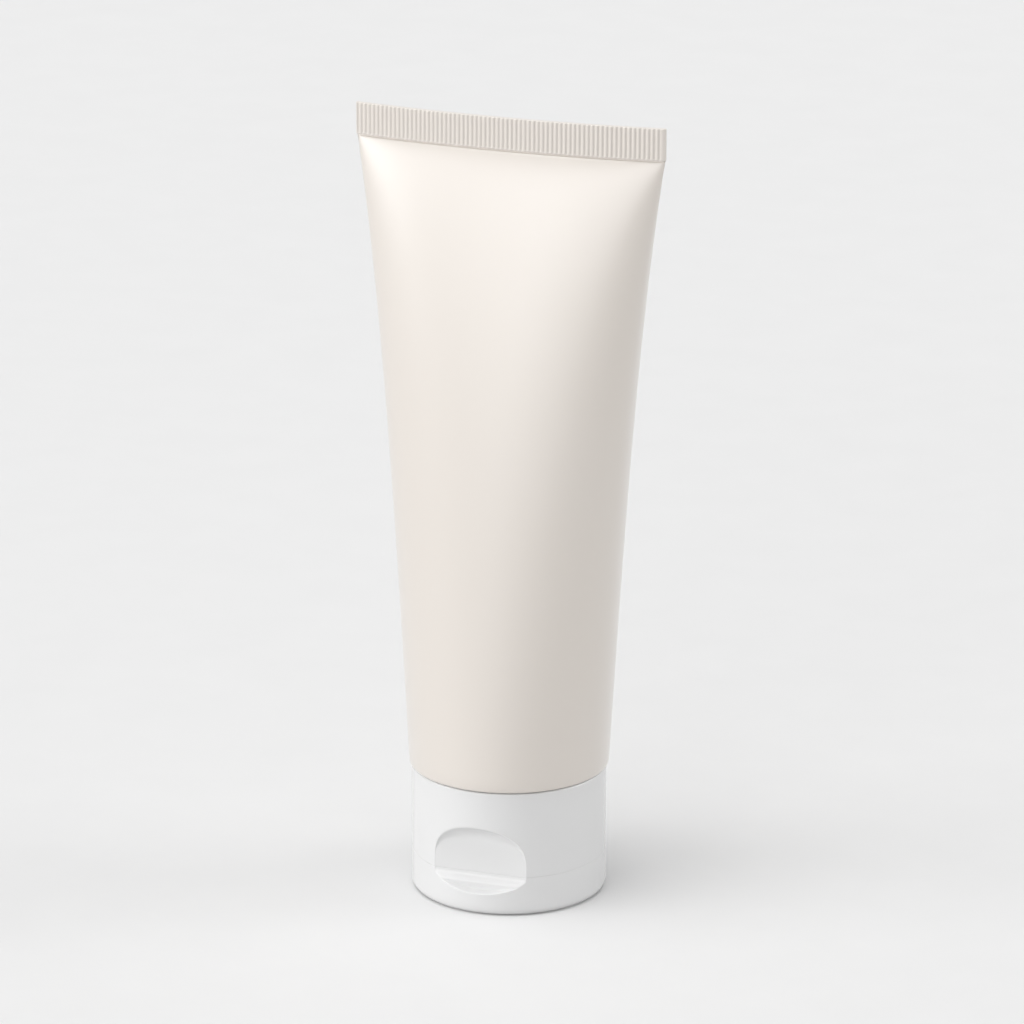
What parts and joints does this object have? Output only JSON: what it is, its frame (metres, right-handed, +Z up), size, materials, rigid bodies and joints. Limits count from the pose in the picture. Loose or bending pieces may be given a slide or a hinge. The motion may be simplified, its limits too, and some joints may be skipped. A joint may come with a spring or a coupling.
{
  "type": "exfoliating gel tube",
  "caption": "Upright squeeze tube with a crimped flat end and a smooth wall, standing on a round flip-top cap with a thumb recess.",
  "frame": {"origin": "centre of the flat face on which the tube stands, on the axis of the cap", "axes": "+Z up along the tube to the crimped end, -Y to the front with the thumb recess, +X along the crimp"},
  "size_m": [0.0644, 0.0404, 0.1606],
  "materials": {
    "sleeve": "satin polyethylene tube wall, pale warm beige, unprinted",
    "head": "natural white polyethylene moulding",
    "gel": "clear pale gel with fine grains",
    "cap": "white polypropylene, smooth moulded semi-gloss"
  },
  "bodies": {
    "tube": {"tube_sleeve": "sleeve", "tube_head": "head", "gel_fill": "gel"},
    "cap": {"cap_base": "cap", "hinge_film": "cap"},
    "lid": {"flip_lid": "cap"}
  },
  "joints": [
    {"name": "cap_twist", "type": "hinge", "parent": "tube", "child": "cap", "pos_m": [0, 0, 0.0175], "axis": [0, 0, -1], "range_deg": [0, 540]},
    {"name": "lid_hinge", "type": "hinge", "parent": "cap", "child": "lid", "pos_m": [0, 0.0201, 0.0082], "axis": [1, 0, 0], "range_deg": [0, 175], "deforming": ["hinge_film"]}
  ]
}
